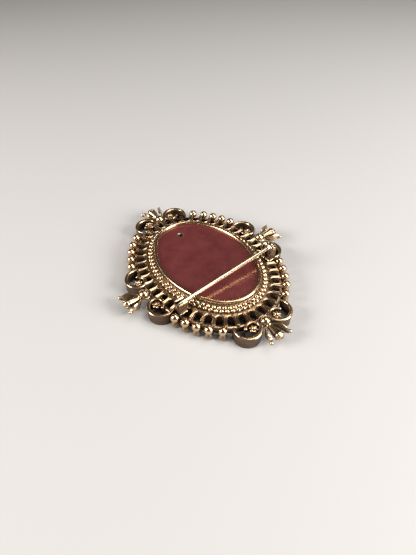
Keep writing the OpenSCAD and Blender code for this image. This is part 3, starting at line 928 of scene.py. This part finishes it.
class Finish:
    """A material, with short calls for its nodes."""

    def __init__(self, name):
        self.material = bpy.data.materials.new(name)
        self.material.use_nodes = True
        self.tree = self.material.node_tree
        self.surface = self.tree.nodes["Principled BSDF"]

    def node(self, kind, inputs=(), **settings):
        """Add a node, with its settings and its inputs."""
        node = self.tree.nodes.new("ShaderNode" + kind)
        for key, value in settings.items():
            setattr(node, key, value)
        for key, value in dict(inputs).items():
            self.set(node, key, value)
        return node

    def set(self, node, key, value):
        """Link a socket to an input, or give the input a plain value."""
        if isinstance(value, bpy.types.NodeSocket):
            self.tree.links.new(value, node.inputs[key])
        else:
            node.inputs[key].default_value = value

    def surfaces(self, **inputs):
        """Set inputs of the surface itself."""
        for key, value in inputs.items():
            self.set(self.surface, key.replace("_", " "), value)

    def noise(self, size, detail=3.0, roughness=0.5):
        """Noise in the piece's own space, with features of a size in millimetres."""
        place = self.node("TexCoord").outputs["Object"]
        return self.node("TexNoise", {"Vector": place, "Scale": 1 / (size * MM), "Detail": detail,
                                      "Roughness": roughness}).outputs["Fac"]

    def span(self, value, low, high, at_low=0.0, at_high=1.0):
        """Map a value between low and high to another span, and hold it at that span's ends."""
        return self.node("MapRange", {"Value": value, "From Min": low, "From Max": high,
                                      "To Min": at_low, "To Max": at_high}).outputs["Result"]

    def combine(self, one, other, operation="ADD"):
        """Work one value out of two."""
        return self.node("Math", {0: one, 1: other}, operation=operation).outputs[0]

    def mix(self, share, one, other):
        """Blend two colours."""
        return self.node("Mix", {0: share, 6: one, 7: other}, data_type="RGBA").outputs[2]

    def recess(self, reach, low=0.35, high=0.9):
        """How deep in a recess a point lies: 1 in the depths, 0 in the open."""
        near = self.node("AmbientOcclusion", {"Distance": reach * MM}, samples=8).outputs["AO"]
        return self.span(near, low, high, 1.0, 0.0)

    def bump(self, height, depth, strength=1.0, below=None):
        """Bump with a depth in millimetres."""
        inputs = {"Height": height, "Distance": depth * MM, "Strength": strength}
        if below:
            inputs["Normal"] = below
        return self.node("Bump", inputs).outputs["Normal"]


def make_gold(name, colour, worn, painted_shade_colour, roughness, reach, shade_low_share=0.0, shade_upright_share=0.0, dents=1.0):
    """Plated metal whose colour varies at random, with painted shade that darkens its recesses.
    reach is how far a wall shades what is beside it, in millimetres. The share for low parts paints
    shade on what lies well below the tops, the share for walls paints shade on what stands upright,
    and dents scales the small bumps."""
    finish = Finish(name)
    cloud = finish.noise(2.5)
    place = finish.node("TexCoord")
    height = finish.node("SeparateXYZ", {0: place.outputs["Object"]}).outputs["Z"]
    facing = finish.node("SeparateXYZ", {0: place.outputs["Normal"]}).outputs["Z"]
    # Painted shade: a dark colour low down below the tops, on upright faces, and in recesses found
    # by ambient occlusion
    full_shade_z, no_shade_z = gallery_z - 1.7, gallery_z - 0.5
    low = finish.span(height, full_shade_z * MM, no_shade_z * MM, shade_low_share, 0.0)
    upright = finish.span(facing, 0.2, 0.7, shade_upright_share, 0.0)
    low_or_upright_shade = finish.combine(low, upright, "MAXIMUM")
    painted_shade = finish.combine(finish.recess(reach), low_or_upright_shade, "MAXIMUM")
    tone = finish.mix(finish.span(cloud, 0.35, 0.7), colour, worn)
    polish = finish.span(cloud, 0.3, 0.7, roughness, roughness * 1.6)
    dents_wide = finish.bump(finish.noise(0.9), 0.035, 0.6 * dents)
    finish.surfaces(
        Base_Color=finish.mix(painted_shade, tone, painted_shade_colour),
        Metallic=finish.span(painted_shade, 0.0, 1.0, 1.0, 0.7),
        Roughness=finish.combine(polish, finish.span(painted_shade, 0.0, 1.0, 0.0, 0.25)),
        Normal=finish.bump(finish.noise(0.12), 0.008, 0.5 * dents, dents_wide))
    return finish.material


def make_plate_finish():
    """Burgundy lacquer, faintly mottled, with bare metal round the vent hole and painted shade
    inside it.
    """
    vent_y = 11.6
    # The radii between which the painted shade of the hole fades, and then its bare edge
    dark_r, dark_end_r, bare_r, bare_end_r = 0.7, 0.75, 0.84, 0.9
    dark_red, light_red = (0.075, 0.014, 0.016, 1), (0.11, 0.024, 0.024, 1)
    bare_metal, dark = (0.6, 0.45, 0.33, 1), (0.01, 0.006, 0.005, 1)
    finish = Finish("burgundy_lacquer")
    place = finish.node("TexCoord").outputs["Object"]
    vent_at = (0, vent_y * MM, plate_z * MM)
    away = finish.node("VectorMath", {0: place, 1: vent_at}, operation="DISTANCE").outputs["Value"]
    ring = finish.span(away, bare_r * MM, bare_end_r * MM, 1.0, 0.0)
    # Painted shade inside the vent hole: near black within its radius
    painted_hole_shade = finish.span(away, dark_r * MM, dark_end_r * MM, 1.0, 0.0)
    cloud = finish.noise(4.0)
    burgundy = finish.mix(finish.span(cloud, 0.3, 0.7), dark_red, light_red)
    mottle = finish.bump(cloud, 0.03, 0.5)
    finish.surfaces(
        Base_Color=finish.mix(painted_hole_shade, finish.mix(ring, burgundy, bare_metal), dark),
        Metallic=finish.combine(ring, painted_hole_shade, "SUBTRACT"),
        Roughness=finish.span(finish.noise(1.2), 0.3, 0.7, 0.17, 0.29), IOR=2.0,
        Specular_Tint=(1.0, 0.62, 0.38, 1),
        Normal=finish.bump(finish.noise(0.25), 0.006, 0.5, mottle))
    return finish.material


def make_stone_finish(name, light, dark, through, grain):
    """Polished or carved stone, clouded, that lets a little light in. Its back, seen through the
    vent, is painted near black as shade."""
    # Painted shade: the stone's back, seen down the vent hole, is coloured near black
    back_shade_colour = (0.012, 0.008, 0.007, 1)
    full_back_shade_z, no_back_shade_z = plate_z - 0.52, plate_z - 0.54
    finish = Finish(name)
    cloud = finish.noise(grain)
    height = finish.node("SeparateXYZ", {0: finish.node("TexCoord").outputs["Object"]}).outputs["Z"]
    painted_back_shade = finish.span(height, no_back_shade_z * MM, full_back_shade_z * MM)
    tone = finish.mix(finish.span(cloud, 0.3, 0.7), light, dark)
    finish.surfaces(
        Base_Color=finish.mix(painted_back_shade, tone, back_shade_colour),
        Roughness=finish.span(cloud, 0.3, 0.7, 0.15, 0.3),
        Subsurface_Weight=through, Subsurface_Radius=(1.0, 0.5, 0.25), Subsurface_Scale=MM,
        Normal=finish.bump(finish.noise(0.2), 0.004, 0.4))
    return finish.material


# Dark colours that the metal finishes paint as shade into recesses, low parts and upright walls
painted_shade_colour = (0.035, 0.014, 0.008, 1)
light_painted_shade_colour = (0.12, 0.06, 0.03, 1)
gold = make_gold("old_gold", (0.74, 0.53, 0.32, 1), (0.58, 0.37, 0.2, 1), painted_shade_colour,
                 roughness=0.16, reach=2.0, shade_low_share=0.9, shade_upright_share=0.85)
bright_gold = make_gold("bright_gold", (0.72, 0.53, 0.34, 1), (0.58, 0.38, 0.21, 1), painted_shade_colour,
                        roughness=0.15, reach=0.8, shade_low_share=0.6)
pale_gold = make_gold("pale_gold", (0.82, 0.7, 0.5, 1), (0.68, 0.53, 0.34, 1), light_painted_shade_colour,
                      roughness=0.12, reach=0.4, dents=0.12)
shaded_gold = make_gold("shaded_gold", (0.74, 0.56, 0.36, 1), (0.58, 0.39, 0.22, 1), painted_shade_colour,
                        roughness=0.15, reach=1.7, shade_low_share=0.7, shade_upright_share=0.35)
plate_finish = make_plate_finish()
carnelian = make_stone_finish("carnelian", (0.55, 0.11, 0.035, 1), (0.36, 0.055, 0.02, 1),
                              through=0.2, grain=5.0)
ivory = make_stone_finish("ivory", (0.86, 0.74, 0.6, 1), (0.74, 0.6, 0.46, 1),
                          through=0.25, grain=3.0)

# The pieces, each on its body
finish_piece(make_gallery(), "brooch", "gold", gold, "filigree_frame")
finish_piece(make_bars(), "brooch", "gold", gold)
finish_piece(make_window_wires(), "brooch", "gold", bright_gold)
finish_piece(make_side_beads(), "brooch", "gold", bright_gold)
finish_piece(make_scrolls(), "brooch", "gold", gold)
finish_piece(make_finials(), "brooch", "gold", shaded_gold)
finish_piece(make_bezel(), "brooch", "gold", bright_gold, "bezel_ring")
finish_piece(make_grain_bed(), "brooch", "gold", gold, "granulated_band")
finish_piece(make_grains(), "brooch", "gold", bright_gold)
finish_piece(make_hinge(), "brooch", "gold", gold, "hinge_bracket")
finish_piece(make_rivet(), "brooch", "gold", bright_gold, "hinge_rivet")
finish_piece(make_catch(), "brooch", "gold", gold, "catch_hook")
finish_piece(make_pin(), "pin", "pale_gold", pale_gold, "pin_stem")
finish_piece(make_bust(), "brooch", "ivory", ivory, "cameo_relief", smooth=180)
for node, material in (("back_plate", plate_finish), ("cameo_stone", carnelian)):
    solid = bpy.data.objects[node]
    solid.data.materials.clear()
    solid.data.materials.append(material)

# The floor, a hair below the brooch
bpy.ops.object.select_all(action="DESELECT")
bpy.ops.mesh.primitive_plane_add(size=6, location=(0, 0, -0.02 * MM))
floor = bpy.context.active_object
floor.name = "floor"
floor_finish = Finish("pale_floor")
floor_finish.surfaces(Base_Color=(0.42, 0.41, 0.4, 1), Roughness=0.7)
floor.data.materials.append(floor_finish.material)


def softbox(name, place, size, power, colour):
    """A square light at a place in millimetres, aimed at the brooch."""
    bpy.ops.object.light_add(type="AREA", location=Vector(place) * MM)
    lamp = bpy.context.active_object
    lamp.name = name
    lamp.data.size = size * MM
    lamp.data.energy = power
    lamp.data.color = colour
    lamp.rotation_euler = Vector(place).to_track_quat("Z", "Y").to_euler()


# The lights: two low ones that give each bead its two highlights, and a wide one above
softbox("left", (-347, 110, 190), size=170, power=2.3, colour=(1.0, 0.97, 0.93))
softbox("right", (200, -304, 180), size=210, power=3.0, colour=(1.0, 0.98, 0.96))
softbox("above", (175, -50, 465), size=340, power=1.5, colour=(1.0, 0.98, 0.96))
world = bpy.data.worlds.new("studio")
bpy.context.scene.world = world
world.use_nodes = True
world.node_tree.nodes["Background"].inputs["Color"].default_value = (0.64, 0.59, 0.58, 1)
world.node_tree.nodes["Background"].inputs["Strength"].default_value = 0.12

# The camera, at the photo's angle
bpy.ops.object.camera_add(location=Vector((-42.2, -59.33, 72.23)) * MM,
                          rotation=[math.radians(turn) for turn in (44.48, 0, -35.85)])
camera = bpy.context.active_object
camera.data.sensor_width = 36
camera.data.lens = 25.946
camera.data.clip_start = MM
bpy.context.scene.camera = camera
bpy.context.scene.view_settings.view_transform = "Standard"
